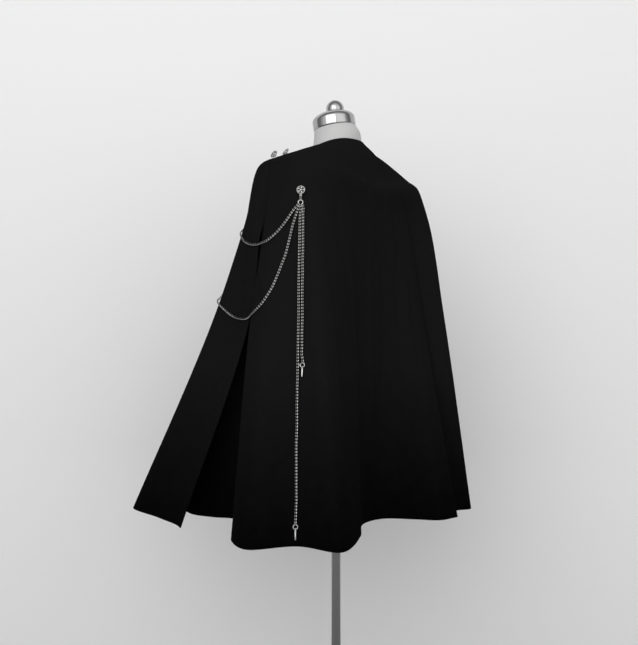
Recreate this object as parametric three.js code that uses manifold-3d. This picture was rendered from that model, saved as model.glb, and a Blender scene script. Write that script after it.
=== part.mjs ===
// A wool cloak on a limbless dress form and stand, with chain trim at the left shoulder.
// Millimetres, +Z up. The origin is on the floor, at the middle of the stand's base. The body
// faces -Y, so its left is +X and its back is +Y.

import Module from 'manifold-3d';
import * as THREE from 'three';
import { mergeVertices } from 'three/addons/utils/BufferGeometryUtils.js';

// Cloth
const WALL = 2; // thickness of the wool
const LAP = 3.6; // from the outer face of one panel to that of the panel lapped over it
const CLEAR = 1.4; // between the form and the cloth that rests on it
const SEAT = 0.3; // gap between hard pieces that touch

// Heights of the stations down a panel, and the rows of faces between one and the next
const CHEST_Z = 1262;
const ELBOW_Z = 1010;
const ROWS = [2, 2, 3, 3, 4, 5];

// Dress form and stand
const FORM_BOTTOM_Z = 740;
const FORM_SIDES = 32;
const NECK_TOP = { y: -3.7, z: 1472, tilt: 9, turn: 32 }; // middle of the neck's top, its lean, and which way
const CAP = { radius: 51, straight: 20, height: 42, sides: 28 };
const KNOB = { radius: 21.3, y: -3.2, z: 1518.6, sides: 20, rows: 10 };
const POLE = { radius: 11, sides: 16 };
const BASE = { radius: 165, edge: 5, thick: 14, bossRadius: 24, bossTop: 34, sides: 32 };

// Chain trim: buttons, wire and chain
const BUTTON = { radius: 9.2, lift: 2.2, thick: 3.4, shank: 2.2, gap: 0.4, sides: 14 };
// Shoulder buttons: how much longer the shank is, which way they lean and by how much
const TIPPED = { rise: 4.6, turn: -136, lean: 38 };
const LINE = 3.2; // height of the middle of chains and rings over the cloth
const EYE = { radius: 2, wire: 0.7, below: 11.6 };
const LINK = { wire: 0.6, half: 2.2, top: 11.9, bottom: 24.8 };
const RING = { radius: 5.1, wire: 0.9, below: 27.8 };
const PENDANT_RING = { radius: 4.7, wire: 0.8 };
const SPIKE = { top: 2, tip: 1.35, sides: 10 };
const CHAIN = { radius: 2.4, sides: 8, step: 14, lead: 5 };

const DEGREES = Math.PI / 180;

/** Turns rows of values into objects with the columns' names. */
function table(columns, rows) {
  return rows.map((row) => Object.fromEntries(columns.map((column, i) => [column, row[i]])));
}

const RING_COLUMNS = ['name', 'width', 'back', 'front', 'centreY', 'sideZ', 'backZ', 'frontZ', 'power', 'roll'];

// Cloth over the shoulders, from the neckline out: half sizes in plan, the height of each ring, and how much
// higher it is at the left
const SHOULDERS = table(RING_COLUMNS, [
  ['neckline', 70, 62, 70, 4, 1411, 1435, 1385, 2.0, 9],
  ['slope', 134, 88, 102, 6, 1397, 1393, 1345, 1.9, 3],
  ['crest', 204, 103, 112, 6, 1363, 1343, 1318, 3.0, 7],
  ['brow', 206, 125, 116, 8, 1348, 1316, 1290, 3.7, 9],
]);

// Dress form below the shoulders, down to its flat bottom
const TORSO = table(RING_COLUMNS, [
  ['blades', 186, 114, 112, 8, 1300, 1270, 1255, 2.6, 0],
  ['underarm', 164, 110, 122, 4, 1235, 1215, 1205, 2.4, 0],
  ['bust', 147, 104, 128, 0, 1170, 1165, 1170, 2.2, 0],
  ['ribs', 126, 92, 108, 0, 1090, 1090, 1090, 2.1, 0],
  ['waist', 112, 84, 90, 0, 1010, 1010, 1010, 2.0, 0],
  ['belly', 138, 92, 102, 0, 915, 915, 915, 2.0, 0],
  ['hip', 164, 98, 110, 0, 825, 825, 825, 2.1, 0],
  ['seat', 164, 96, 108, 0, 765, 765, 765, 2.1, 0],
  ['bottom', 152, 88, 100, 0, FORM_BOTTOM_Z, FORM_BOTTOM_Z, FORM_BOTTOM_Z, 2.1, 0],
]);

// Fabric neck above the shoulders, from the cap down
const NECK = table(RING_COLUMNS, [
  ['crown', 49, 49, 49, -3.7, 1472, 1478.6, 1465.4, 2.0, -4.1],
  ['throat', 55, 54, 56, 4, 1452, 1461, 1440, 2.0, -1],
  ['root', 59, 57, 60, 4, 1432, 1446, 1410, 2.0, 2],
]);

// One row for each fold line, with its place over the shoulders in degrees from the body's left, then its
// place in plan at the chest, the elbow and the hem. A lap of 1 lies over the other panel.
const FOLD_COLUMNS = [
  'name', 'top', 'chestX', 'chestY', 'elbowX', 'elbowY', 'hemX', 'hemY', 'hemZ', 'lap', 'steps',
];

const BACK_FOLDS = table(FOLD_COLUMNS, [
  ['hidden edge', -34, 168, -88, 195, -150, 222, -300, 552, 0, 3],
  ['under wing', -26, 186, -78, 208, -125, 234, -245, 552, 0, 3],
  ['wing shade', -16, 203, -56, 204, -84, 222, -185, 553, 0, 3],
  ['slit valley', -9, 209, -34, 203, -50, 210, -122, 556, 0, 4],
  ['left crest front', -3, 219, -6, 258, -17, 335, 12, 550, 0, 4],
  ['left crest', 8, 221, 24, 276, 42, 352, 78, 548, 0, 4],
  ['left dip', 22, 213, 66, 240, 96, 272, 146, 552, 0, 4],
  ['left back crest', 42, 178, 108, 206, 154, 236, 232, 548, 0, 4],
  ['crest flank', 58, 112, 124, 116, 148, 124, 186, 552, 0, 4],
  ['back valley left', 76, 55, 128, 54, 127, 50, 127, 556, 0, 4],
  ['back valley', 90, 0, 129, 0, 124, 4, 117, 557, 0.4, 4],
  ['back valley right', 100, -45, 129, -42, 128, -34, 126, 557, 0.8, 4],
  ['right flank', 107, -75, 128, -80, 142, -78, 176, 556, 1, 4],
  ['right crest', 112, -92, 128, -108, 154, -114, 220, 555, 1, 3],
  ['back free edge', 117, -106, 127, -137, 156, -167, 233, 556, 1, 0],
]);

const FRONT_FOLDS = table(FOLD_COLUMNS, [
  ['hidden edge', 104, -66, 121, -86, 122, -118, 158, 556, 0, 3],
  ['under back', 118, -110, 122, -136, 138, -170, 184, 557, 0, 3],
  ['strip', 128, -142, 127, -170, 163, -217, 199, 559, 0, 3],
  ['right back crest', 142, -184, 133, -197, 174, -253, 211, 559, 0, 4],
  ['right back dip', 160, -212, 84, -258, 94, -318, 104, 557, 0, 4],
  ['right side', 172, -225, 36, -268, 34, -292, 24, 557, 0, 4],
  ['right crest', 182, -228, -10, -286, -28, -346, -72, 555, 0, 4],
  ['right valley', 194, -218, -54, -258, -90, -282, -148, 557, 0, 4],
  ['right front crest', 210, -188, -92, -236, -150, -292, -262, 555, 0, 4],
  ['right front valley', 226, -142, -110, -166, -148, -184, -214, 557, 0, 4],
  ['front crest right', 244, -92, -116, -118, -180, -142, -318, 555, 0, 4],
  ['front valley', 260, -46, -119, -54, -154, -56, -238, 557, 0, 4],
  ['front crest', 274, 4, -120, 12, -178, 24, -322, 555, 0, 4],
  ['front valley left', 290, 56, -119, 72, -152, 100, -250, 557, 0, 4],
  ['left front crest', 306, 112, -114, 151, -197, 204, -378, 555, 0.7, 4],
  ['wing crest', 326, 182, -106, 225.5, -187.5, 296, -404, 556, 1, 4],
  ['wing', 340, 205, -84, 225, -99, 320, -268, 555, 1, 4],
  ['wing ridge', 348, 219, -60, 237, -56, 337, -175, 555, 1, 3],
  ['wing free edge', 355, 226, -14, 240, -42, 346, -151, 554, 1, 0],
]);

// Places outside the cloth, the way in from there to where each button or pendant lies on it, and the
// degrees by which what hangs below leans off the cloth
const SEAT_COLUMNS = ['name', 'x', 'y', 'z', 'inX', 'inY', 'lean'];
const SEATS = Object.fromEntries(table(SEAT_COLUMNS, [
  ['back brooch', 229, 103, 1294.6, -0.83, -0.55, 8],
  ['front brooch', 172, -150, 1294.6, -0.45, 0.89, 5],
  ['shoulder button back', 176, -22, 1450, 0, 0, 0],
  ['shoulder button front', 138, -24, 1450, 0, 0, 0],
  ['long pendant', 301, 168, 591, -0.7, -0.7, 0],
  ['short pendant', 268, 138, 921, -0.93, -0.34, 0],
]).map((row) => [row.name, row]));

// Chain routes, chosen by hand down the cloth, without the ends that meet their rings
const POINT_COLUMNS = ['x', 'y', 'z'];
const ROUTES = {
  swagUpper: table(POINT_COLUMNS, [
    [218, 76, 1250],
    [224, 61, 1229],
    [230, 50, 1214],
    [236, 38, 1201],
    [241, 20, 1189],
    [239, 0, 1185],
    [234, -20, 1183],
    [232, -40, 1184],
    [227, -62, 1189],
    [215, -87, 1197],
    [208, -104, 1208],
    [197, -118, 1218],
    [183, -122, 1229],
    [172, -120, 1244],
  ]),
  swagLower: table(POINT_COLUMNS, [
    [213, 84, 1248],
    [218, 77, 1222],
    [226, 73, 1186],
    [233, 69, 1156],
    [241, 64, 1131],
    [249, 59, 1108],
    [257, 54, 1087],
    [265, 46, 1068],
    [271, 36, 1052],
    [274, 20, 1038],
    [269, 0, 1029],
    [258, -23, 1022],
    [244, -48, 1019],
    [234, -76, 1019],
    [228, -104, 1023],
    [228, -126, 1032],
    [230, -142, 1043],
    [228, -160, 1053],
    [220, -173, 1062],
    [208, -176, 1070],
    [198, -174, 1083],
    [184, -167, 1107],
    [171, -156, 1140],
    [162, -144, 1172],
    [156, -133, 1205],
    [152, -124, 1236],
  ]),
  strandLong: table(POINT_COLUMNS, [
    [210, 90, 1240],
    [214, 93, 1200],
    [219, 97, 1160],
    [224, 101, 1120],
    [229, 105, 1080],
    [233, 109, 1040],
    [237, 112, 1000],
    [241, 115, 960],
    [245, 118, 920],
    [249, 121, 880],
    [253, 124, 840],
    [256, 127, 800],
    [260, 129, 760],
    [263, 132, 720],
    [266, 135, 680],
    [269, 138, 640],
  ]),
  strandShort: table(POINT_COLUMNS, [
    [207, 96, 1242],
    [208, 97, 1215],
    [211, 100, 1190],
    [214, 103, 1165],
    [218, 106, 1140],
    [221, 109, 1115],
    [224, 111, 1090],
    [227, 114, 1065],
    [230, 117, 1040],
    [232, 119, 1015],
    [235, 121, 990],
    [238, 124, 963],
    [240, 125, 943],
  ]),
};

/** Radius of a ring in a direction given in degrees, with separate depths for its back and front. */
function ringRadius(ring, angle, inset = 0) {
  const across = Math.abs(Math.cos(angle * DEGREES)) / (ring.width - inset);
  const depth = Math.sin(angle * DEGREES) >= 0 ? ring.back : ring.front;
  const along = Math.abs(Math.sin(angle * DEGREES)) / (depth - inset);
  return (across ** ring.power + along ** ring.power) ** (-1 / ring.power);
}

/** Point of a ring in a direction given in degrees. */
function ringPoint(ring, angle, inset = 0) {
  const radius = ringRadius(ring, angle, inset);
  const side = Math.sin(angle * DEGREES);
  const lean = (ring.backZ - ring.frontZ) / 2;
  const dish = (ring.backZ + ring.frontZ) / 2 - ring.sideZ;
  return new THREE.Vector3(
    radius * Math.cos(angle * DEGREES),
    ring.centreY + radius * side,
    ring.sideZ + lean * side + dish * side * side + ring.roll * Math.cos(angle * DEGREES),
  );
}

/** Point between the second and third of four knots, on the centripetal curve through them. */
function between(knots, share) {
  const curve = new THREE.CatmullRomCurve3(knots, false, 'centripetal');
  return curve.getPoint((1 + share) / 3);
}

/** The knots before and after the span that starts at index, with the ends carried on straight. */
function knotsAround(points, index) {
  const at = (i) => {
    if (i < 0) return points[0].clone().multiplyScalar(2).sub(points[1]);
    if (i >= points.length) {
      const last = points.length - 1;
      return points[last].clone().multiplyScalar(2).sub(points[last - 1]);
    }
    return points[i];
  };
  return [at(index - 1), at(index), at(index + 1), at(index + 2)];
}

/** The stations of a column of cloth, neckline to hem, between one fold row and the next. */
function stations(folds, index, share) {
  const next = folds[Math.min(index + 1, folds.length - 1)];
  const top = folds[index].top + (next.top - folds[index].top) * share;
  const spots = [
    folds.map((fold) => new THREE.Vector3(fold.chestX, fold.chestY, CHEST_Z)),
    folds.map((fold) => new THREE.Vector3(fold.elbowX, fold.elbowY, ELBOW_Z)),
    folds.map((fold) => new THREE.Vector3(fold.hemX, fold.hemY, fold.hemZ)),
  ];
  const lower = spots.map((row) => (share === 0 ? row[index].clone() : between(knotsAround(row, index), share)));
  return [...SHOULDERS.map((ring) => ringPoint(ring, top)), ...lower];
}

/** A grid of points, one column for each fold line and those between, each from neckline to hem. */
function clothGrid(folds) {
  const columns = [];
  const laps = [];
  folds.forEach((fold, index) => {
    const next = folds[Math.min(index + 1, folds.length - 1)];
    for (let step = 0; step < Math.max(fold.steps, 1); step += 1) {
      const share = fold.steps ? step / fold.steps : 0;
      const knots = stations(folds, index, share);
      const column = [];
      ROWS.forEach((rows, span) => {
        for (let row = 0; row < rows; row += 1) {
          column.push(row ? between(knotsAround(knots, span), row / rows) : knots[span].clone());
        }
      });
      column.push(knots[knots.length - 1].clone());
      columns.push(column);
      laps.push(fold.lap + (next.lap - fold.lap) * share);
    }
  });
  return { columns, laps };
}

/** Outward normals of a grid, from each point's neighbours. */
function gridNormals(columns) {
  const last = columns.length - 1;
  return columns.map((column, i) => column.map((_, j) => {
    const around = columns[Math.min(i + 1, last)][j].clone().sub(columns[Math.max(i - 1, 0)][j]);
    const down = column[Math.min(j + 1, column.length - 1)].clone().sub(column[Math.max(j - 1, 0)]);
    return down.cross(around).normalize();
  }));
}

/** A grid moved out along its normals. */
function moved(columns, normals, distance) {
  return columns.map((column, i) => column.map((p, j) => (
    p.clone().addScaledVector(normals[i][j], distance(i, j))
  )));
}

/** The outer face of a panel, with its laps lifted over the shoulders. */
function panelFace(folds) {
  const { columns, laps } = clothGrid(folds);
  const shoulderRows = ROWS[0] + ROWS[1] + ROWS[2];
  const fadeRows = ROWS[3];
  const fade = (row) => THREE.MathUtils.clamp((shoulderRows + fadeRows - row) / fadeRows, 0, 1);
  return moved(columns, gridNormals(columns), (i, j) => LAP * laps[i] * fade(j));
}

/** A closed wall between an outer grid and the same grid moved in. */
function wallGeometry(outer, thickness) {
  const normals = gridNormals(outer);
  const inner = moved(outer, normals, () => -thickness);
  const rows = outer[0].length;
  const inside = outer.length * rows;
  const positions = [...outer.flat(), ...inner.flat()].flatMap((p) => [p.x, p.y, p.z]);
  const at = (i, j) => i * rows + j;
  const faces = [];
  const quad = (a, b, c, d) => faces.push(a, b, c, a, c, d);
  for (let i = 0; i < outer.length - 1; i += 1) {
    for (let j = 0; j < rows - 1; j += 1) {
      quad(at(i, j), at(i, j + 1), at(i + 1, j + 1), at(i + 1, j));
      quad(inside + at(i, j), inside + at(i + 1, j), inside + at(i + 1, j + 1), inside + at(i, j + 1));
    }
    quad(at(i, 0), at(i + 1, 0), inside + at(i + 1, 0), inside + at(i, 0));
    quad(at(i + 1, rows - 1), at(i, rows - 1), inside + at(i, rows - 1), inside + at(i + 1, rows - 1));
  }
  const end = outer.length - 1;
  for (let j = 0; j < rows - 1; j += 1) {
    quad(at(0, j + 1), at(0, j), inside + at(0, j), inside + at(0, j + 1));
    quad(at(end, j), at(end, j + 1), inside + at(end, j + 1), inside + at(end, j));
  }
  return solid(positions, faces);
}

/** A geometry from flat lists of coordinates and corner numbers. */
function solid(positions, faces) {
  const geometry = new THREE.BufferGeometry();
  geometry.setAttribute('position', new THREE.Float32BufferAttribute(positions, 3));
  geometry.setIndex(faces);
  geometry.computeVertexNormals();
  return geometry;
}

/** A closed body through rings of points, top to bottom, with flat ends. */
function loftGeometry(rings) {
  const count = rings[0].length;
  const positions = rings.flat().flatMap((p) => [p.x, p.y, p.z]);
  const faces = [];
  for (let k = 0; k < rings.length - 1; k += 1) {
    for (let i = 0; i < count; i += 1) {
      const a = k * count + i;
      const b = k * count + ((i + 1) % count);
      faces.push(a, a + count, b + count, a, b + count, b);
    }
  }
  [rings[0], rings[rings.length - 1]].forEach((ring, end) => {
    const middle = ring.reduce((sum, p) => sum.add(p), new THREE.Vector3()).divideScalar(count);
    const centre = positions.length / 3;
    positions.push(middle.x, middle.y, middle.z);
    const start = end ? (rings.length - 1) * count : 0;
    for (let i = 0; i < count; i += 1) {
      const a = start + i;
      const b = start + ((i + 1) % count);
      faces.push(...(end ? [centre, b, a] : [centre, a, b]));
    }
  });
  return solid(positions, faces);
}

/** A turned body about Z, from pairs of radius and height, top to bottom. */
function turnedGeometry(profile, sides) {
  return loftGeometry(profile.map(([radius, z]) => Array.from({ length: sides }, (_, i) => {
    const angle = (i / sides) * 2 * Math.PI;
    return new THREE.Vector3(radius * Math.cos(angle), radius * Math.sin(angle), z);
  })));
}

/** A ball about the origin, with a small flat at each pole. */
function ballGeometry(radius, sides, rows) {
  const profile = Array.from({ length: rows }, (_, row) => {
    const angle = ((row + 0.5) / rows) * Math.PI;
    return [radius * Math.sin(angle), radius * Math.cos(angle)];
  });
  return turnedGeometry(profile, sides);
}

/** A wire ring about Z. */
function wireRing({ radius, wire }) {
  return new THREE.TorusGeometry(radius, wire, 6, 14);
}

const wasm = await Module();
wasm.setup();

/** A geometry as a solid that can be joined and cut. */
function toManifold(geometry) {
  const plain = new THREE.BufferGeometry();
  plain.setAttribute('position', geometry.attributes.position);
  plain.setIndex(geometry.index);
  const merged = mergeVertices(plain, 1e-4);
  return new wasm.Manifold(new wasm.Mesh({
    numProp: 3,
    vertProperties: new Float32Array(merged.attributes.position.array),
    triVerts: new Uint32Array(merged.index.array),
  }));
}

/** A joined or cut solid as a geometry. */
function fromManifold(body) {
  const mesh = body.getMesh();
  return solid(Array.from(mesh.vertProperties), Array.from(mesh.triVerts));
}

const wool = new THREE.MeshStandardMaterial({ color: 0x17171a, roughness: 0.95, metalness: 0 });
const linen = new THREE.MeshStandardMaterial({ color: 0xd9d4c8, roughness: 0.9, metalness: 0 });
const chrome = new THREE.MeshStandardMaterial({ color: 0xc9ccd0, roughness: 0.12, metalness: 1 });
const silver = new THREE.MeshStandardMaterial({ color: 0xb4b2ad, roughness: 0.35, metalness: 1 });

const cloak = new THREE.Group();

/** Adds one named piece to the model, or to a group in it. */
function add(name, geometry, material, group = cloak) {
  const mesh = new THREE.Mesh(geometry, material);
  mesh.name = name;
  group.add(mesh);
  return mesh;
}

/** The dress form: neck, shoulders under the cloth and torso, as one smooth body. */
function addForm() {
  const inset = WALL + CLEAR;
  const spans = [
    ...NECK.map((ring) => ({ ring, inset: 0, rows: 1 })),
    ...SHOULDERS.map((ring, i) => ({ ring, inset, rows: ROWS[i] })),
    ...TORSO.map((ring) => ({ ring, inset: 0, rows: 1 })),
  ];
  const rings = [];
  const profile = (angle) => spans.map((span) => {
    const p = ringPoint(span.ring, angle, span.inset);
    p.z -= span.inset;
    return p;
  });
  const profiles = Array.from({ length: FORM_SIDES }, (_, i) => profile((i / FORM_SIDES) * 360));
  spans.forEach((span, k) => {
    const rows = k === spans.length - 1 ? 1 : span.rows;
    for (let row = 0; row < rows; row += 1) {
      rings.push(profiles.map((points) => (
        row ? between(knotsAround(points, k), row / rows) : points[k].clone()
      )));
    }
  });
  add('form_torso', loftGeometry(rings), linen);
}

/** The chrome cap on the neck, its ball knob, and the pole and base below the form. */
function addStand() {
  const { radius, straight, height, sides } = CAP;
  const dome = Array.from({ length: 5 }, (_, i) => {
    const angle = (0.06 + 0.94 * (i / 4)) * (Math.PI / 2);
    return [radius * Math.sin(angle), straight + (height - straight) * Math.cos(angle)];
  });
  const cap = turnedGeometry([...dome, [radius, 3], [radius - 1, 0]], sides);
  cap.rotateX(NECK_TOP.tilt * DEGREES);
  cap.rotateZ(NECK_TOP.turn * DEGREES);
  cap.translate(0, NECK_TOP.y, NECK_TOP.z + SEAT);
  const socket = ballGeometry(KNOB.radius + SEAT, KNOB.sides, KNOB.rows);
  socket.translate(0, KNOB.y, KNOB.z);
  add('neck_cap', fromManifold(toManifold(cap).subtract(toManifold(socket))), chrome);

  const knob = add('neck_knob', ballGeometry(KNOB.radius, KNOB.sides, KNOB.rows), chrome);
  knob.position.set(0, KNOB.y, KNOB.z);

  const poleTop = FORM_BOTTOM_Z - SEAT;
  const poleBottom = BASE.bossTop + SEAT;
  add('stand_pole', turnedGeometry([[POLE.radius, poleTop], [POLE.radius, poleBottom]], POLE.sides), chrome);
  add('stand_base', turnedGeometry([
    [BASE.bossRadius - 3, BASE.bossTop],
    [BASE.bossRadius, BASE.bossTop - 3],
    [BASE.bossRadius, BASE.thick],
    [BASE.radius - BASE.edge, BASE.thick - 2],
    [BASE.radius, BASE.thick - 7],
    [BASE.radius, 0],
  ], BASE.sides), chrome);
}

/** A group whose Z points out of the cloth and Y up along it, where the way in meets the panel. */
function seatOn(panel, { x, y, z, inX, inY, lean }) {
  const inward = inX || inY ? new THREE.Vector3(inX, inY, 0) : new THREE.Vector3(0, 0, -1);
  const hit = new THREE.Raycaster(new THREE.Vector3(x, y, z), inward.normalize()).intersectObject(panel)[0];
  const out = hit.face.normal.clone();
  const up = new THREE.Vector3(0, 0, 1).addScaledVector(out, -out.z).normalize();
  const across = up.clone().cross(out);
  const group = new THREE.Group();
  group.applyMatrix4(new THREE.Matrix4().makeBasis(across, up, out).setPosition(hit.point));
  group.rotateX(-lean * DEGREES);
  cloak.add(group);
  group.updateMatrixWorld();
  return group;
}

/** Turned sizes of a button: its domed face and the shank down to the cloth. */
function buttonProfile() {
  const { radius, lift, thick, shank, gap } = BUTTON;
  return [
    [radius * 0.3, lift + thick],
    [radius * 0.75, lift + thick * 0.72],
    [radius, lift + thick * 0.45],
    [radius, lift + 0.4],
    [radius - 0.6, lift],
    [shank, lift],
    [shank, gap],
  ];
}

/** A loose button that lies over to one side of its shank. */
function addTippedButton(name, group) {
  const face = turnedGeometry(buttonProfile(), BUTTON.sides);
  face.rotateX(-TIPPED.lean * DEGREES);
  face.rotateZ(TIPPED.turn * DEGREES);
  face.translate(0, 0, TIPPED.rise);
  const top = TIPPED.rise + BUTTON.lift;
  const shank = turnedGeometry([[BUTTON.shank, top], [BUTTON.shank, BUTTON.gap]], BUTTON.sides);
  add(name, fromManifold(toManifold(face).add(toManifold(shank))), silver, group);
}

/** A button with an eye under it, a link through the eye and a ring through the link. */
function addBrooch(name, group) {
  const eye = wireRing(EYE);
  eye.translate(0, -EYE.below, LINE);
  const button = toManifold(turnedGeometry(buttonProfile(), BUTTON.sides));
  add(`${name}_button`, fromManifold(button.add(toManifold(eye))), silver, group);

  const end = (side) => (side > 0 ? -LINK.top - LINK.half : -LINK.bottom + LINK.half);
  const corners = [[0, -LINK.top], [LINK.half, end(1)], [LINK.half, end(-1)], [0, -LINK.bottom],
    [-LINK.half, end(-1)], [-LINK.half, end(1)]];
  const loop = new THREE.CatmullRomCurve3(corners.map(([out, along]) => (
    new THREE.Vector3(0, along, LINE + out)
  )), true);
  add(`${name}_link`, new THREE.TubeGeometry(loop, 16, LINK.wire, 6, true), silver, group);

  const ring = add(`${name}_ring`, wireRing(RING), silver, group);
  ring.position.set(0, -RING.below, LINE);
}

/** Two points straight off a ring, by degrees from straight down: where a chain ends, and its lead. */
function offRing(group, { radius, wire, below = 0 }, angle) {
  const reach = radius + wire + SEAT;
  return [reach, reach + CHAIN.lead].map((distance) => group.localToWorld(new THREE.Vector3(
    distance * Math.sin(angle * DEGREES),
    -below - distance * Math.cos(angle * DEGREES),
    LINE,
  )));
}

/** A chain as a plain tube along its route, between the places just off two rings. */
function addChain(name, start, route, end) {
  const points = [...start, ...route.map(({ x, y, z }) => new THREE.Vector3(x, y, z)), ...end.reverse()];
  const path = new THREE.CatmullRomCurve3(points, false, 'centripetal');
  const corners = Array.from({ length: CHAIN.sides }, (_, i) => {
    const angle = (i / CHAIN.sides) * 2 * Math.PI;
    return new THREE.Vector2(CHAIN.radius * Math.cos(angle), CHAIN.radius * Math.sin(angle));
  });
  add(name, new THREE.ExtrudeGeometry(new THREE.Shape(corners), {
    extrudePath: path,
    steps: Math.round(path.getLength() / CHAIN.step),
    bevelEnabled: false,
  }), silver);
}

/** A ring at the end of a strand and the blunt spike that hangs from it. */
function addPendant(name, group, length) {
  const ring = add(`${name}_ring`, wireRing(PENDANT_RING), silver, group);
  ring.position.set(0, 0, LINE);
  const eye = wireRing(EYE);
  eye.rotateY(Math.PI / 2);
  const spike = turnedGeometry([
    [SPIKE.top, -EYE.radius],
    [SPIKE.top, -EYE.radius - 1],
    [SPIKE.tip, -length + 0.6],
    [SPIKE.tip - 0.5, -length],
  ], SPIKE.sides);
  spike.rotateX(-Math.PI / 2);
  const body = fromManifold(toManifold(spike).add(toManifold(eye)));
  const hung = add(`${name}_spike`, body, silver, group);
  hung.position.set(0, -PENDANT_RING.radius, LINE);
}

/** The chain trim, from the brooch on the back of the shoulder to the one on its front. */
function addTrim(back, front) {
  const behind = seatOn(back, SEATS['back brooch']);
  const ahead = seatOn(front, SEATS['front brooch']);
  addBrooch('back', behind);
  addBrooch('front', ahead);
  addTippedButton('shoulder_button_back', seatOn(front, SEATS['shoulder button back']));
  addTippedButton('shoulder_button_front', seatOn(front, SEATS['shoulder button front']));

  const longEnd = seatOn(back, SEATS['long pendant']);
  const shortEnd = seatOn(back, SEATS['short pendant']);
  addPendant('long', longEnd, 22);
  addPendant('short', shortEnd, 20);

  const from = (angle) => offRing(behind, RING, angle);
  const to = (angle) => offRing(ahead, RING, angle);
  const topOf = (group) => offRing(group, PENDANT_RING, 180);
  addChain('swag_upper', from(-80), ROUTES.swagUpper, to(62));
  addChain('swag_lower', from(-28), ROUTES.swagLower, to(4));
  addChain('strand_long', from(24), ROUTES.strandLong, topOf(longEnd));
  addChain('strand_short', from(76), ROUTES.strandShort, topOf(shortEnd));
}

addForm();
addStand();
const cloakBack = add('cloak_back', wallGeometry(panelFace(BACK_FOLDS), WALL), wool);
const cloakFront = add('cloak_front', wallGeometry(panelFace(FRONT_FOLDS), WALL), wool);
addTrim(cloakBack, cloakFront);

export default cloak;
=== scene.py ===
"""Looks of a black wool cloak on a dress form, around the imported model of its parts.

Lengths in the tables are millimetres, as a cutter reads them, and angles are degrees. Blender
works in metres. The body faces -Y, so its left is +X and its back is +Y.
"""

from __future__ import annotations

import logging
import math
from dataclasses import dataclass
from enum import Enum
from typing import Any, Sequence

import bpy
import numpy as np
from mathutils import Matrix, Vector
from mathutils.bvhtree import BVHTree

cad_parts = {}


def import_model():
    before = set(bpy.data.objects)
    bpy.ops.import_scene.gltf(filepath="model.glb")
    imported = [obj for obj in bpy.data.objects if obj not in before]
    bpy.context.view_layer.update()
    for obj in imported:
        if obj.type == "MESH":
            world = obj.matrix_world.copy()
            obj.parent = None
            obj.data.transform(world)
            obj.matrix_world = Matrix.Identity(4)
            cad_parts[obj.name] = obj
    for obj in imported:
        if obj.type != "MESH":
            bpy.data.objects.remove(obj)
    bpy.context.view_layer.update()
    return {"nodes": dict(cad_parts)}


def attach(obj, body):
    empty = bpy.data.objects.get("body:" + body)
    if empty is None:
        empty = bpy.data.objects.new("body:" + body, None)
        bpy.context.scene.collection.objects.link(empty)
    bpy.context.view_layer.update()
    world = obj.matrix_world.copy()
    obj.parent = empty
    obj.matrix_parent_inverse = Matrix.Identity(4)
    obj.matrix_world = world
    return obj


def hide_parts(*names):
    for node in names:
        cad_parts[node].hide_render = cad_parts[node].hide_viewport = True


LOG = logging.getLogger("cloak")
MM = 0.001

WALL = 2.0  # thickness of the wool
LAP = 3.6  # from the outer face of one panel to that of the panel lapped over it
CLEAR = 1.4  # between the form and the cloth that rests on it
SEAT = 0.3  # gap between hard pieces that touch
CHEST_Z = 1262.0
ELBOW_Z = 1010.0
SPAN_ROWS = (2, 2, 3, 3, 4, 5)  # rows of the plain model between one station and the next
FINE_ROWS = 6  # rows of cloth here for each row of the plain model
FINE_STEPS = 4  # columns of cloth here for each column of the plain model
LIFTED_ROWS = 7  # rows from the neckline over which a lap is lifted in full
FADING_ROWS = 3
THIN_LAP = 0.9  # height of the wing's edge where it is sewn down over the shoulder
THIN_WALL = 0.7
PRESSED_WIDTH = 30.0  # from that edge to where the cloth hangs free and has its full thickness
SEWN_TO_Z = 1236.0  # height over the floor down to which that edge is sewn
SEWN_FADE = 46.0  # from there to where it has left the cloth under it
CREASE_STEP = 8.0  # spacing of the points of a crease's line


@dataclass(frozen=True)
class Ring:
    """Half sizes in plan and heights of a ring about the body, and how much higher its left side is."""

    name: str
    width: float
    back: float
    front: float
    centre_y: float
    side_z: float
    back_z: float
    front_z: float
    power: float
    roll: float = 0.0

    def point(self, angle: float, inset: float = 0.0) -> np.ndarray:
        """Point of the ring in a direction.

        Args:
            angle: degrees from the body's left towards its back.
            inset: how far inside the ring the point lies.

        Returns:
            The point, in millimetres.
        """
        cos, sin = math.cos(math.radians(angle)), math.sin(math.radians(angle))
        depth = self.back if sin >= 0 else self.front
        across = abs(cos) / (self.width - inset)
        along = abs(sin) / (depth - inset)
        radius = (across**self.power + along**self.power) ** (-1 / self.power)
        lean = (self.back_z - self.front_z) / 2
        dish = (self.back_z + self.front_z) / 2 - self.side_z
        height = self.side_z + lean * sin + dish * sin * sin + self.roll * cos
        return np.array([radius * cos, self.centre_y + radius * sin, height])


@dataclass(frozen=True)
class Fold:
    """A fold line of the cloth: its place over the shoulders, then in plan at three levels."""

    name: str
    top: float
    chest_x: float
    chest_y: float
    elbow_x: float
    elbow_y: float
    hem_x: float
    hem_y: float
    hem_z: float
    lap: float
    steps: int

    def stations(self) -> np.ndarray:
        """The fold's points at the chest, the elbow and the hem."""
        return np.array(
            [
                [self.chest_x, self.chest_y, CHEST_Z],
                [self.elbow_x, self.elbow_y, ELBOW_Z],
                [self.hem_x, self.hem_y, self.hem_z],
            ]
        )


@dataclass(frozen=True)
class Crease:
    """A soft ridge or trough along a line on a panel, fading at both ends.

    Attributes:
        line: places that the crease follows. Each is a fold's number in the panel's table, with the share
            of the way to the next, and its height over the floor.
        width: from its middle to where it has nearly gone.
        height: how far it stands out, or in where it is negative.
    """

    line: tuple[tuple[float, float], ...]
    width: float
    height: float


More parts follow.
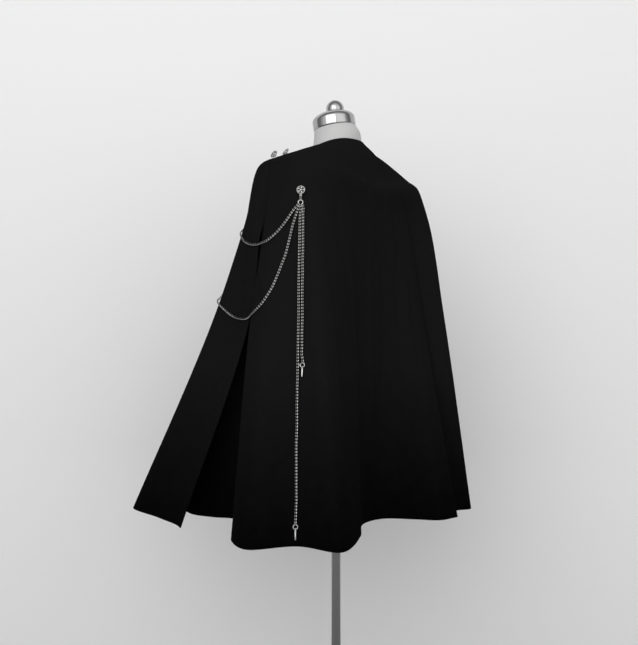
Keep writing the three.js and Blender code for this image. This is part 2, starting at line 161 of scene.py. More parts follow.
SHOULDERS = (
    Ring("neckline", 70, 62, 70, 4, 1411, 1435, 1385, 2.0, 9),
    Ring("slope", 134, 88, 102, 6, 1397, 1393, 1345, 1.9, 3),
    Ring("crest", 204, 103, 112, 6, 1363, 1343, 1318, 3.0, 7),
    Ring("brow", 206, 125, 116, 8, 1348, 1316, 1290, 3.7, 9),
)

TORSO = (
    Ring("blades", 186, 114, 112, 8, 1300, 1270, 1255, 2.6),
    Ring("underarm", 164, 110, 122, 4, 1235, 1215, 1205, 2.4),
    Ring("bust", 147, 104, 128, 0, 1170, 1165, 1170, 2.2),
    Ring("ribs", 126, 92, 108, 0, 1090, 1090, 1090, 2.1),
    Ring("waist", 112, 84, 90, 0, 1010, 1010, 1010, 2.0),
    Ring("belly", 138, 92, 102, 0, 915, 915, 915, 2.0),
    Ring("hip", 164, 98, 110, 0, 825, 825, 825, 2.1),
    Ring("seat", 164, 96, 108, 0, 765, 765, 765, 2.1),
    Ring("bottom", 152, 88, 100, 0, 740, 740, 740, 2.1),
)

NECK = (
    Ring("crown", 49, 49, 49, -3.7, 1472, 1478.6, 1465.4, 2.0, -4.1),
    Ring("throat", 55, 54, 56, 4, 1452, 1461, 1440, 2.0, -1),
    Ring("root", 59, 57, 60, 4, 1432, 1446, 1410, 2.0, 2),
)

BACK_FOLDS = (
    Fold("hidden edge", -34, 168, -88, 195, -150, 222, -300, 552, 0, 3),
    Fold("under wing", -26, 186, -78, 208, -125, 234, -245, 552, 0, 3),
    Fold("wing shade", -16, 203, -56, 204, -84, 222, -185, 553, 0, 3),
    Fold("slit valley", -9, 209, -34, 203, -50, 210, -122, 556, 0, 4),
    Fold("left crest front", -3, 219, -6, 258, -17, 335, 12, 550, 0, 4),
    Fold("left crest", 8, 221, 24, 276, 42, 352, 78, 548, 0, 4),
    Fold("left dip", 22, 213, 66, 240, 96, 272, 146, 552, 0, 4),
    Fold("left back crest", 42, 178, 108, 206, 154, 236, 232, 548, 0, 4),
    Fold("crest flank", 58, 112, 124, 116, 148, 124, 186, 552, 0, 4),
    Fold("back valley left", 76, 55, 128, 54, 127, 50, 127, 556, 0, 4),
    Fold("back valley", 90, 0, 129, 0, 124, 4, 117, 557, 0.4, 4),
    Fold("back valley right", 100, -45, 129, -42, 128, -34, 126, 557, 0.8, 4),
    Fold("right flank", 107, -75, 128, -80, 142, -78, 176, 556, 1, 4),
    Fold("right crest", 112, -92, 128, -108, 154, -114, 220, 555, 1, 3),
    Fold("back free edge", 117, -106, 127, -137, 156, -167, 233, 556, 1, 0),
)

FRONT_FOLDS = (
    Fold("hidden edge", 104, -66, 121, -86, 122, -118, 158, 556, 0, 3),
    Fold("under back", 118, -110, 122, -136, 138, -170, 184, 557, 0, 3),
    Fold("strip", 128, -142, 127, -170, 163, -217, 199, 559, 0, 3),
    Fold("right back crest", 142, -184, 133, -197, 174, -253, 211, 559, 0, 4),
    Fold("right back dip", 160, -212, 84, -258, 94, -318, 104, 557, 0, 4),
    Fold("right side", 172, -225, 36, -268, 34, -292, 24, 557, 0, 4),
    Fold("right crest", 182, -228, -10, -286, -28, -346, -72, 555, 0, 4),
    Fold("right valley", 194, -218, -54, -258, -90, -282, -148, 557, 0, 4),
    Fold("right front crest", 210, -188, -92, -236, -150, -292, -262, 555, 0, 4),
    Fold("right front valley", 226, -142, -110, -166, -148, -184, -214, 557, 0, 4),
    Fold("front crest right", 244, -92, -116, -118, -180, -142, -318, 555, 0, 4),
    Fold("front valley", 260, -46, -119, -54, -154, -56, -238, 557, 0, 4),
    Fold("front crest", 274, 4, -120, 12, -178, 24, -322, 555, 0, 4),
    Fold("front valley left", 290, 56, -119, 72, -152, 100, -250, 557, 0, 4),
    Fold("left front crest", 306, 112, -114, 151, -197, 204, -378, 555, 0.7, 4),
    Fold("wing crest", 326, 182, -106, 225.5, -187.5, 296, -404, 556, 1, 4),
    Fold("wing", 340, 205, -84, 225, -99, 320, -268, 555, 1, 4),
    Fold("wing ridge", 348, 219, -60, 237, -56, 337, -175, 555, 1, 3),
    Fold("wing free edge", 355, 226, -14, 240, -42, 346, -151, 554, 1, 0),
)

# Creases chosen on the folds that show and alike on those that don't
BACK_CREASES = (
    Crease(((3.6, 1262), (4.0, 1150), (4.3, 1010)), 14, -3.2),
    Crease(((4.0, 1250), (4.5, 1190), (5.2, 1140)), 11, 2.2),
    Crease(((4.2, 1205), (4.9, 1150), (5.8, 1105)), 12, -2.4),
    Crease(((4.1, 1150), (4.8, 1090), (5.6, 1045)), 12, 2.4),
    Crease(((4.4, 1090), (5.0, 1010), (5.4, 900)), 14, -2.0),
    Crease(((5.8, 1300), (6.0, 1180), (6.4, 1000), (6.5, 800)), 16, -2.6),
    Crease(((6.9, 1240), (7.3, 1060), (7.4, 860), (7.3, 640)), 13, 1.8),
    Crease(((7.4, 1330), (7.8, 1240), (8.1, 1120), (8.2, 960)), 15, -2.2),
    Crease(((8.3, 1290), (8.5, 1150), (8.4, 960), (8.3, 760), (8.2, 570)), 15, 2.0),
    Crease(((8.9, 1100), (8.9, 920), (8.8, 740), (8.7, 560)), 13, -3.6),
    Crease(((9.5, 1310), (9.6, 1180), (9.7, 1000), (9.8, 800), (9.8, 570)), 15, 2.8),
    Crease(((10.2, 1250), (10.5, 1080), (10.6, 900), (10.5, 640)), 12, -1.8),
    Crease(((10.9, 1340), (11.1, 1210), (11.2, 1060)), 16, 1.8),
    Crease(((11.5, 1180), (11.6, 980), (11.5, 760), (11.4, 570)), 14, -2.6),
    Crease(((12.1, 1270), (12.3, 1110), (12.4, 930), (12.4, 700)), 13, 2.2),
    Crease(((12.8, 1200), (12.9, 1000), (12.9, 780), (12.8, 580)), 12, -2.0),
    Crease(((6.4, 1350), (7.6, 1325), (8.8, 1300)), 13, 1.6),
    Crease(((9.4, 1350), (10.6, 1322), (11.8, 1300)), 14, -1.6),
)
FRONT_CREASES = (
    Crease(((2.6, 1280), (2.8, 1120), (2.9, 900), (2.8, 640)), 13, -2.0),
    Crease(((3.4, 1240), (3.6, 1040), (3.5, 820)), 15, 2.2),
    Crease(((4.3, 1300), (4.6, 1150), (4.7, 940), (4.6, 700)), 15, -2.4),
    Crease(((5.4, 1220), (5.5, 1010), (5.6, 760), (5.5, 580)), 14, 2.2),
    Crease(((6.5, 1280), (6.6, 1100), (6.5, 860)), 14, -2.4),
    Crease(((7.4, 1200), (7.6, 980), (7.5, 720)), 13, 1.8),
    Crease(((8.5, 1290), (8.6, 1130), (8.7, 900), (8.6, 640)), 15, -2.6),
    Crease(((9.6, 1200), (9.5, 1000), (9.6, 760)), 13, 2.0),
    Crease(((10.5, 1290), (10.6, 1100), (10.5, 840), (10.6, 590)), 14, -2.4),
    Crease(((11.5, 1220), (11.6, 1030), (11.5, 780)), 13, 2.2),
    Crease(((12.4, 1280), (12.5, 1110), (12.6, 860), (12.5, 600)), 14, -2.2),
    Crease(((13.5, 1220), (13.4, 1000), (13.5, 740)), 15, 2.0),
    Crease(((14.4, 1250), (14.6, 1050), (14.5, 820), (14.6, 600)), 16, -2.8),
    Crease(((15.4, 1180), (15.5, 960), (15.4, 720)), 16, 2.4),
    Crease(((16.0, 1230), (16.4, 1080), (16.5, 900), (16.4, 680)), 14, -2.2),
    Crease(((16.9, 1160), (17.2, 1010), (17.3, 820), (17.2, 620)), 12, 1.8),
    Crease(((16.2, 1200), (16.9, 1150), (17.6, 1110)), 12, -2.0),
    Crease(((15.9, 1130), (16.7, 1080), (17.5, 1040)), 13, 1.8),
)


# Chain routes down the cloth, the same as in the plain model
SWAG_UPPER_ROUTE = (
    (218, 76, 1250), (224, 61, 1229), (230, 50, 1214), (236, 38, 1201), (241, 20, 1189),
    (239, 0, 1185), (234, -20, 1183), (232, -40, 1184), (227, -62, 1189), (215, -87, 1197),
    (208, -104, 1208), (197, -118, 1218), (183, -122, 1229), (172, -120, 1244),
)
SWAG_LOWER_ROUTE = (
    (213, 84, 1248), (218, 77, 1222), (226, 73, 1186), (233, 69, 1156), (241, 64, 1131),
    (249, 59, 1108), (257, 54, 1087), (265, 46, 1068), (271, 36, 1052), (274, 20, 1038),
    (269, 0, 1029), (258, -23, 1022), (244, -48, 1019), (234, -76, 1019), (228, -104, 1023),
    (228, -126, 1032), (230, -142, 1043), (228, -160, 1053), (220, -173, 1062), (208, -176, 1070),
    (198, -174, 1083), (184, -167, 1107), (171, -156, 1140), (162, -144, 1172), (156, -133, 1205),
    (152, -124, 1236),
)
STRAND_LONG_ROUTE = (
    (210, 90, 1240), (214, 93, 1200), (219, 97, 1160), (224, 101, 1120), (229, 105, 1080),
    (233, 109, 1040), (237, 112, 1000), (241, 115, 960), (245, 118, 920), (249, 121, 880),
    (253, 124, 840), (256, 127, 800), (260, 129, 760), (263, 132, 720), (266, 135, 680),
    (269, 138, 640),
)
STRAND_SHORT_ROUTE = (
    (207, 96, 1242), (208, 97, 1215), (211, 100, 1190), (214, 103, 1165), (218, 106, 1140),
    (221, 109, 1115), (224, 111, 1090), (227, 114, 1065), (230, 117, 1040), (232, 119, 1015),
    (235, 121, 990), (238, 124, 963), (240, 125, 943),
)


# Curves and meshes

TINY = 1e-4  # span under which two knots count as one
CURVE_STEPS = 24  # steps in which a curve is measured between two knots


def between(knots: np.ndarray, share: float) -> np.ndarray:
    """Point between the second and third of four knots, on the centripetal curve through them.

    Args:
        knots: four points, or four rows of points of the same length.
        share: how far from the second knot to the third.

    Returns:
        The point or row of points.
    """
    a, b, c, d = knots
    pairs = ((a, b), (b, c), (c, d))
    before, span, after = (np.linalg.norm(q - p, axis=-1, keepdims=True) ** 0.5 for p, q in pairs)
    mid = np.maximum(span, TINY)
    first = np.where(before < TINY, mid, before)
    last = np.where(after < TINY, mid, after)
    leave = ((b - a) / first - (c - a) / (first + mid) + (c - b) / mid) * mid
    reach = ((c - b) / mid - (d - b) / (mid + last) + (d - c) / last) * mid
    square = 3 * (c - b) - 2 * leave - reach
    cube = 2 * (b - c) + leave + reach
    return b + leave * share + square * share**2 + cube * share**3


def knots_around(points: np.ndarray, index: int) -> np.ndarray:
    """The knots before and after the span that starts at an index, with the ends carried on straight.

    Args:
        points: the knots, along the first axis.
        index: the knot at which the span starts.

    Returns:
        Four knots.
    """
    carried = np.concatenate([[2 * points[0] - points[1]], points, [2 * points[-1] - points[-2]] * 2])
    return carried[index : index + 4]


def smooth_path(points: np.ndarray, step: float) -> np.ndarray:
    """Evenly spaced points along the smooth curve through some knots.

    Args:
        points: the knots, in millimetres.
        step: the spacing wanted, which is fitted to the curve's length.

    Returns:
        The points, both ends included.
    """
    shares = [step / CURVE_STEPS for step in range(CURVE_STEPS)]
    fine = [between(knots_around(points, i), share) for i in range(len(points) - 1) for share in shares]
    dense = np.array([*fine, points[-1]])
    reach = np.concatenate([[0], np.cumsum(np.linalg.norm(np.diff(dense, axis=0), axis=1))])
    marks = np.linspace(0, reach[-1], max(2, round(reach[-1] / step) + 1))
    return np.stack([np.interp(marks, reach, dense[:, k]) for k in range(3)], axis=1)


def path_length(points: np.ndarray) -> float:
    """Length of a line of points."""
    return float(np.linalg.norm(np.diff(points, axis=0), axis=1).sum())


@dataclass
class Shape:
    """Points and faces of a mesh being built, in millimetres."""

    points: np.ndarray
    faces: list[tuple[int, ...]]

    def moved(self, matrix: Matrix) -> Shape:
        """The shape in another place, with its translation in millimetres."""
        m = np.array(matrix)
        return Shape(self.points @ m[:3, :3].T + m[:3, 3], self.faces)


def joined(shapes: Sequence[Shape]) -> Shape:
    """Several shapes as one.

    Args:
        shapes: the shapes, which stay separate shells.

    Returns:
        The shape that holds them all.
    """
    faces: list[tuple[int, ...]] = []
    start = 0
    for shape in shapes:
        faces.extend(tuple(i + start for i in face) for face in shape.faces)
        start += len(shape.points)
    return Shape(np.concatenate([shape.points for shape in shapes]), faces)


def rings_shape(rings: Sequence[np.ndarray], capped: bool = True) -> Shape:
    """A closed body through rings of points, top to bottom.

    Args:
        rings: rings with the same number of points, each anticlockwise seen from above.
        capped: whether flat faces close the two ends.

    Returns:
        The body's shape.
    """
    count = len(rings[0])
    faces: list[tuple[int, ...]] = []
    for k in range(len(rings) - 1):
        for i in range(count):
            a, b = k * count + i, k * count + (i + 1) % count
            faces.append((a, a + count, b + count, b))
    if capped:
        last = (len(rings) - 1) * count
        faces.append(tuple(range(count)))
        faces.append(tuple(last + i for i in reversed(range(count))))
    return Shape(np.concatenate(rings), faces)


def circle(radius: float, count: int, height: float = 0.0) -> np.ndarray:
    """Points of a circle about Z, at a height."""
    angles = np.linspace(0, 2 * math.pi, count, endpoint=False)
    return np.stack([radius * np.cos(angles), radius * np.sin(angles), np.full(count, height)], axis=1)


def turned(profile: Sequence[tuple[float, float]], sides: int) -> Shape:
    """A turned body about Z.

    Args:
        profile: pairs of radius and height, top to bottom.
        sides: sides of each ring.

    Returns:
        The body's shape.
    """
    return rings_shape([circle(radius, sides, height) for radius, height in profile])


def wire_shape(line: np.ndarray, radius: float, sides: int = 10) -> Shape:
    """A round wire bent into a closed loop.

    Args:
        line: points of the wire's middle, once round.
        radius: the wire's radius.
        sides: sides of its section.

    Returns:
        The loop's shape.
    """
    ahead = np.roll(line, -1, axis=0) - np.roll(line, 1, axis=0)
    ahead /= np.linalg.norm(ahead, axis=1, keepdims=True)
    middle = line.mean(axis=0)
    outward = line - middle
    outward -= (outward * ahead).sum(axis=1, keepdims=True) * ahead
    outward /= np.linalg.norm(outward, axis=1, keepdims=True)
    over = np.cross(ahead, outward)
    angles = np.linspace(0, 2 * math.pi, sides, endpoint=False)
    rings = [
        line[i] + radius * (np.outer(np.cos(angles), outward[i]) + np.outer(np.sin(angles), over[i]))
        for i in range(len(line))
    ]
    count = len(line)
    faces = []
    for k in range(count):
        for i in range(sides):
            a, b = k * sides + i, k * sides + (i + 1) % sides
            c, d = ((k + 1) % count) * sides + (i + 1) % sides, ((k + 1) % count) * sides + i
            faces.append((a, b, c, d))
    return Shape(np.concatenate(rings), faces)


def make_object(name: str, shape: Shape, material: bpy.types.Material) -> bpy.types.Object:
    """A smooth mesh object from a shape.

    Args:
        name: the object's name.
        shape: its points and faces, in millimetres.
        material: what it is made of.

    Returns:
        The object, in the scene.
    """
    mesh = bpy.data.meshes.new(name)
    mesh.from_pydata((shape.points * MM).tolist(), [], shape.faces)
    mesh.update()
    mesh.shade_smooth()
    mesh.materials.append(material)
    made = bpy.data.objects.new(name, mesh)
    bpy.context.scene.collection.objects.link(made)
    return made


def store(piece: bpy.types.Object, name: str, values: Sequence[float] | np.ndarray) -> None:
    """Stores one value for each point of a piece, for its finish to read."""
    piece.data.attributes.new(name, "FLOAT", "POINT").data.foreach_set("value", values)


def crisp(piece: bpy.types.Object, angle: float = 40.0) -> None:
    """Keeps the edges of a hard piece sharper than an angle, in degrees, unsmoothed."""
    piece.data.set_sharp_from_angle(angle=math.radians(angle))


def stand_in(piece: bpy.types.Object, node: str, body: str = "stand") -> bpy.types.Object:
    """Lets a piece stand for a plain part and the body that it moves with."""
    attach(piece, body)
    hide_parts(node)
    return piece


# Finishes


def linear(hex_colour: str) -> tuple[float, float, float, float]:
    """Linear colour, with full alpha, of an sRGB hex value such as #17171a."""
    channels = [int(hex_colour[i : i + 2], 16) / 255 for i in (1, 3, 5)]
    red, green, blue = (c / 12.92 if c <= 0.04045 else ((c + 0.055) / 1.055) ** 2.4 for c in channels)
    return red, green, blue, 1.0


@dataclass
class Shading:
    """The nodes of a material or of the surround."""

    tree: bpy.types.NodeTree

    @classmethod
    def of_new_material(cls, name: str) -> tuple[bpy.types.Material, Shading]:
        """An empty material and its nodes."""
        material = bpy.data.materials.new(name)
        material.use_nodes = True
        material.node_tree.nodes.clear()
        return material, cls(material.node_tree)

    def add(self, kind: str, inputs: dict[str | int, Any] | None = None, **settings: Any) -> bpy.types.Node:
        """Adds a node with its settings and links.

        Args:
            kind: the node's type, without the words that all types of shader node start with.
            inputs: a value, or a socket to link, for each input by name or number.
            settings: values of the node's own properties.

        Returns:
            The node.
        """
        made = self.tree.nodes.new(f"ShaderNode{kind}")
        for key, value in settings.items():
            setattr(made, key, value)
        for key, value in (inputs or {}).items():
            if isinstance(value, bpy.types.NodeSocket):
                self.tree.links.new(value, made.inputs[key])
            else:
                made.inputs[key].default_value = value
        return made

    def place(self) -> bpy.types.NodeSocket:
        """Where a point is on the piece, in metres."""
        return self.add("TexCoord").outputs["Object"]

    def stored(self, name: str) -> bpy.types.NodeSocket:
        """The value stored on the piece under a name."""
        return self.add("Attribute", attribute_name=name).outputs["Fac"]

    def noise(
        self, place: bpy.types.NodeSocket, size_mm: float, detail: float, roughness: float = 0.5
    ) -> bpy.types.NodeSocket:
        """Noise whose patches measure a size in millimetres."""
        inputs = {"Vector": place, "Scale": 1 / (size_mm * MM), "Detail": detail, "Roughness": roughness}
        return self.add("TexNoise", inputs).outputs[0]

    def ramp(
        self,
        value: bpy.types.NodeSocket,
        span: tuple[float, float],
        result: tuple[float, float] = (0.0, 1.0),
        **settings: Any,
    ) -> bpy.types.NodeSocket:
        """A value that goes over a span, as one that goes over the result."""
        names = ("From Min", "From Max", "To Min", "To Max")
        inputs = {"Value": value, **dict(zip(names, (*span, *result)))}
        return self.add("MapRange", inputs, **settings).outputs[0]

    def maths(self, operation: str, first: Any, second: Any = 0.0, **settings: Any) -> bpy.types.NodeSocket:
        """The result of an operation on one or two values."""
        return self.add("Math", {0: first, 1: second}, operation=operation, **settings).outputs[0]

    def mixed(self, share: bpy.types.NodeSocket, first: str, second: str) -> bpy.types.NodeSocket:
        """A colour between two sRGB hex values."""
        inputs = {"Factor": share, 6: linear(first), 7: linear(second)}
        return self.add("Mix", inputs, data_type="RGBA").outputs[2]

    def bump(
        self,
        height: bpy.types.NodeSocket,
        depth_mm: float,
        strength: float,
        over: bpy.types.NodeSocket | None = None,
    ) -> bpy.types.NodeSocket:
        """Fine relief, over another where there is one."""
        inputs = {"Height": height, "Distance": depth_mm * MM, "Strength": strength}
        if over is not None:
            inputs["Normal"] = over
        return self.add("Bump", inputs).outputs[0]

    def finish(self, kind: str, inputs: dict[str | int, Any]) -> None:
        """Ends the material with a shader."""
        shader = self.add(kind, inputs)
        self.tree.links.new(shader.outputs[0], self.add("OutputMaterial").inputs[0])


@dataclass(frozen=True)
class WoolCoating:
    """Milled and brushed wool coating, dyed black.

    The eye sees a soft black with no shine, a faint bloom along the nap's tips and a slight unevenness where
    the nap lies different ways. Painted light and shade: by height, the colour is darker towards the hem and
    greyer towards the shoulders.
    """

    name: str = "black_wool_coating"
    # These two colours and heights paint light and shade: the darker colour low at the hem, the lighter one
    # high towards the shoulders
    shaded_black: str = "#070707"
    lit_black: str = "#171717"
    shaded_height_m: float = 0.56
    lit_height_m: float = 0.92
    unevenness: float = 0.07
    nap_mm: float = 2.4  # length of a tuft of nap, which is too fine to show at its real 1 mm
    fibre_mm: float = 0.9
    mottle_mm: float = 26.0
    nap_height_mm: float = 0.35
    sheen: float = 0.008
    sheen_roughness: float = 0.5
    sheen_tint: str = "#cccccc"
    stitch_in_mm: float = 7.0  # from an edge to the row of stitches along it
    groove_mm: float = 0.5  # depth to which the stitches pull the cloth in
    groove_half_mm: float = 1.1

    def build(self) -> bpy.types.Material:
        """The finish as a material."""
        material, nodes = Shading.of_new_material(self.name)
        place = nodes.place()
        combed = nodes.add("Mapping", {"Vector": place, "Scale": (1.0, 1.0, 0.4)}).outputs[0]
        mottle = nodes.noise(place, self.mottle_mm, 5.0)
        uneven = nodes.ramp(mottle, (0.3, 0.7), (-self.unevenness, self.unevenness))
        height = nodes.add("SeparateXYZ", {0: place}).outputs["Z"]
        # Painted light and shade: the colour lightens with height over the cloth
        painted_light = nodes.ramp(height, (self.shaded_height_m, self.lit_height_m))
        tone = nodes.maths("ADD", painted_light, uneven, use_clamp=True)
        off = nodes.maths("SUBTRACT", nodes.stored("rim_mm"), self.stitch_in_mm)
        away = nodes.maths("ABSOLUTE", off)
        groove = nodes.ramp(away, (0.0, self.groove_half_mm), (-1.0, 0.0), interpolation_type="SMOOTHSTEP")
        pressed = nodes.bump(groove, self.groove_mm, 0.6)
        nap = nodes.noise(combed, self.nap_mm, 4.0, 0.6)
        tufts = nodes.bump(nap, self.nap_height_mm, 0.5, pressed)
        fibre = nodes.noise(combed, self.fibre_mm, 2.0)
        hairs = nodes.bump(fibre, self.nap_height_mm / 2, 0.35, tufts)
        nodes.finish(
            "BsdfPrincipled",
            {
                "Base Color": nodes.mixed(tone, self.shaded_black, self.lit_black),
                "Roughness": 0.88,
                "Specular IOR Level": 0.0,
                "Sheen Weight": self.sheen,
                "Sheen Roughness": self.sheen_roughness,
                "Sheen Tint": linear(self.sheen_tint),
                "Normal": hairs,
            },
        )
        return material


@dataclass(frozen=True)
class FormCover:
    """Stretched cotton jersey over a padded form.

    The eye sees a pale grey matt cloth with a fine even knit.
    """

    name: str = "cotton_jersey_cover"
    light: str = "#c4c4c3"
    shade: str = "#bababa"
    soil_mm: float = 40.0
    wave_scale: float = 31.25  # rows 10 mm apart, far coarser than stitches, for a faint unevenness
    knit_height_mm: float = 0.15

    def build(self) -> bpy.types.Material:
        """The finish as a material."""
        material, nodes = Shading.of_new_material(self.name)
        place = nodes.place()
        inputs = {"Vector": place, "Scale": self.wave_scale, "Distortion": 1.2, "Detail": 1.0}
        rows = nodes.add("TexWave", inputs, bands_direction="Z").outputs[0]
        nodes.finish(
            "BsdfPrincipled",
            {
                "Base Color": nodes.mixed(nodes.noise(place, self.soil_mm, 3.0), self.light, self.shade),
                "Roughness": 0.85,
                "Specular IOR Level": 0.3,
                "Sheen Weight": 0.15,
                "Normal": nodes.bump(rows, self.knit_height_mm, 0.5),
            },
        )
        return material


class Metal(Enum):
    """The metals of the trim and the stand: name, bright colour, dark colour, roughness, patch size."""

    CHROME = ("chrome_plated_steel", "#b0b0b0", "#9e9e9e", 0.09, 60.0)
    OLD_SILVER = ("antique_silver_plate", "#e2e2e0", "#0d0d0c", 0.34, 5.0)
    # The chain's dark colour paints shade at the ends of its links and also darkens random dull patches
    CHAIN = ("antique_silver_chain", "#f2f2f0", "#0c0c0b", 0.3, 5.0)


@dataclass(frozen=True)
class MetalFinish:
    """Plated metal, polished or darkened in patches.

    The eye sees chrome as a clear mirror with faint smears, and antique silver as a soft shine with darker,
    duller metal where it is never rubbed. On the chains the dark metal at the ends of the links is painted
    shade.
    """

    metal: Metal
    duller: float = 1.9  # times as rough where it is dark

    def build(self) -> bpy.types.Material:
        """The finish as a material."""
        name, bright, dark, roughness, patch_mm = self.metal.value
        material, nodes = Shading.of_new_material(name)
        dulled = nodes.ramp(nodes.noise(nodes.place(), patch_mm, 3.0), (0.56, 0.9))
        # The stored value is patina in the buttons' hollows and painted shade at the overlapping ends of
        # chain links
        dark_share = nodes.maths("MAXIMUM", dulled, nodes.stored("patina_and_shade"))
        rough = nodes.ramp(dark_share, (0.0, 1.0), (roughness, min(1.0, roughness * self.duller)))
        colour = nodes.mixed(dark_share, bright, dark)
        nodes.finish("BsdfPrincipled", {"Base Color": colour, "Metallic": 1.0, "Roughness": rough})
        return material


@dataclass(frozen=True)
class MattPaint:
    """Matt emulsion on a smooth surface, seen from its front only so that other views look past it."""

    name: str
    colour: str

    def build(self) -> bpy.types.Material:
        """The finish as a material."""
        material, nodes = Shading.of_new_material(self.name)
        paint = nodes.add("BsdfDiffuse", {"Color": linear(self.colour), "Roughness": 0.6}).outputs[0]
        clear = nodes.add("BsdfTransparent").outputs[0]
        behind = nodes.add("NewGeometry").outputs["Backfacing"]
        nodes.finish("MixShader", {0: behind, 1: paint, 2: clear})
        return material


@dataclass
class Finishes:
    """The materials of the whole model."""

    wool: bpy.types.Material
    cover: bpy.types.Material
    chrome: bpy.types.Material
    silver: bpy.types.Material
    chain: bpy.types.Material

    @staticmethod
    def make() -> Finishes:
        """Builds every finish once."""
        return Finishes(
            wool=WoolCoating().build(),
            cover=FormCover().build(),
            chrome=MetalFinish(Metal.CHROME).build(),
            silver=MetalFinish(Metal.OLD_SILVER).build(),
            chain=MetalFinish(Metal.CHAIN).build(),
        )


# The studio


@dataclass
class Studio:
    """Camera, pale wall and floor, and soft light."""

    toward: tuple[float, float] = (0.7193, 0.6947)  # in plan, from the form to the camera
    distance: float = 2100.0
    aside: float = -40.5  # how far right of the form's axis the camera's own axis passes
    height: float = 1010.0
    lens: float = 49.2
    wall_behind: float = 600.0
    wall_size: float = 7000.0
    lights: tuple[tuple[str, float, float, float, float, float, float], ...] = (
        # name, degrees to the right of the camera, degrees up, distance, width, height, watts
        ("key", -20.0, 25.0, 2600.0, 2200.0, 2200.0, 21.0),
        ("fill", 38.0, 20.0, 2800.0, 2400.0, 2000.0, 5.0),
        ("strip", 6.0, 2.0, 2500.0, 240.0, 2600.0, 3.0),
    )
    room: float = 1.2  # brightness of the pale room behind the camera
    room_sides: float = 0.25  # share of it that comes from the sides and from overhead
    room_span: tuple[float, float] = (0.1, 0.75)  # from the sides to behind the camera, as a cosine

    def plan(self, ahead: float, aside: float = 0.0) -> tuple[float, float]:
        """Place in plan, in millimetres, so far towards the camera and so far to its right."""
        cx, cy = self.toward
        return cx * ahead - cy * aside, cy * ahead + cx * aside

    def add_camera(self) -> None:
        """Adds the camera where the picture was taken from."""
        data = bpy.data.cameras.new("camera")
        data.lens = self.lens
        data.sensor_width = 36.0
        camera = bpy.data.objects.new("camera", data)
        x, y = self.plan(self.distance, self.aside)
        camera.location = Vector((x, y, self.height)) * MM
        look = Vector((-self.toward[0], -self.toward[1], 0.0))
        camera.rotation_euler = look.to_track_quat("-Z", "Y").to_euler()
        bpy.context.scene.collection.objects.link(camera)
        bpy.context.scene.camera = camera

    def add_stage(self) -> None:
        """Adds the wall close behind the form and the floor under it."""
        half = self.wall_size / 2
        paint = MattPaint("matt_wall_paint", "#f2f2f2").build()
        grey = MattPaint("matt_floor_paint", "#a8a8a8").build()
        x, y = self.plan(-self.wall_behind, half)
        u, v = self.plan(-self.wall_behind, -half)
        wall = Shape(np.array([[x, y, 0], [x, y, half], [u, v, half], [u, v, 0.0]]), [(0, 1, 2, 3)])
        corners = [[-half, -half, 0], [half, -half, 0], [half, half, 0], [-half, half, 0]]
        floor = Shape(np.array(corners), [(0, 1, 2, 3)])
        make_object("wall", wall, paint)
        make_object("floor", floor, grey)

    def add_light(self) -> None:
        """Adds soft boxes and a room that is pale behind the camera and darker to its sides."""
        for name, aside, up, distance, width, height, watts in self.lights:
            data = bpy.data.lights.new(name, "AREA")
            data.shape = "RECTANGLE"
            data.size = width * MM
            data.size_y = height * MM
            data.energy = watts
            lamp = bpy.data.objects.new(name, data)
            out = distance * math.cos(math.radians(up))
            x, y = self.plan(out * math.cos(math.radians(aside)), out * math.sin(math.radians(aside)))
            lamp.location = Vector((x, y, self.height + distance * math.sin(math.radians(up)))) * MM
            aim = Vector((0.0, 0.0, self.height)) * MM - lamp.location
            lamp.rotation_euler = aim.to_track_quat("-Z", "Y").to_euler()
            bpy.context.scene.collection.objects.link(lamp)
        world = bpy.data.worlds.new("surround")
        world.use_nodes = True
        nodes = Shading(world.node_tree)
        way = nodes.add("TexCoord").outputs["Generated"]
        facing = nodes.add("VectorMath", {0: way, 1: (*self.toward, 0.0)}, operation="DOT_PRODUCT")
        span = (self.room * self.room_sides, self.room)
        level = nodes.ramp(facing.outputs["Value"], self.room_span, span, interpolation_type="SMOOTHSTEP")
        background = world.node_tree.nodes["Background"]
        background.inputs["Color"].default_value = linear("#f2f2f2")
        world.node_tree.links.new(level, background.inputs["Strength"])
        bpy.context.scene.world = world
        bpy.context.scene.view_settings.view_transform = "Standard"

    def build(self) -> None:
        """Builds the whole studio."""
        self.add_camera()
        self.add_stage()
        self.add_light()


# The chain trim


@dataclass(frozen=True)
class Seat:
    """Where a button or pendant lies on a panel: a place outside, the way in, and how it leans off."""

    x: float
    y: float
    z: float
    in_x: float = 0.0
    in_y: float = 0.0
    lean: float = 0.0

    def frame(self, panel: bpy.types.Object) -> Matrix:
        """A frame on the cloth whose Z points out of it and Y up along it.

        Args:
            panel: the panel's plain model.

        Returns:
            The frame, with its translation in millimetres.
        """
        inward = Vector((self.in_x, self.in_y, 0.0)) if self.in_x or self.in_y else Vector((0.0, 0.0, -1.0))
        inward.normalize()
        hit, place, out, _ = panel.ray_cast(Vector((self.x, self.y, self.z)) * MM, inward)
        if not hit:
            raise ValueError(f"no cloth under the seat at {self.x}, {self.y}, {self.z}")
        up = Vector((0.0, 0.0, 1.0))
        up = (up - out * up.dot(out)).normalized()
        across = up.cross(out)
        turn = Matrix((across, up, out)).transposed().to_4x4()
        return Matrix.Translation(place / MM) @ turn @ Matrix.Rotation(math.radians(-self.lean), 4, "X")


@dataclass(frozen=True)
class WireRing:
    """A ring of round wire and how far under its button it hangs."""

    radius: float
    wire: float
    below: float = 0.0

    def shape(self, sides: int = 12) -> Shape:
        """The ring about Z."""
        return wire_shape(circle(self.radius, 48), self.wire, sides)


RING = WireRing(5.1, 0.9, 27.8)
PENDANT_RING = WireRing(4.7, 0.8)
EYE = WireRing(2.0, 0.7, 11.6)
LINE = 3.2  # height of the middle of chains and rings over the cloth
CHAIN_LEAD = 5.0
SHANK = 2.2  # radius of a button's shank
PARTLY_DULL = 0.3  # how dark the metal is on the backs and shanks of buttons


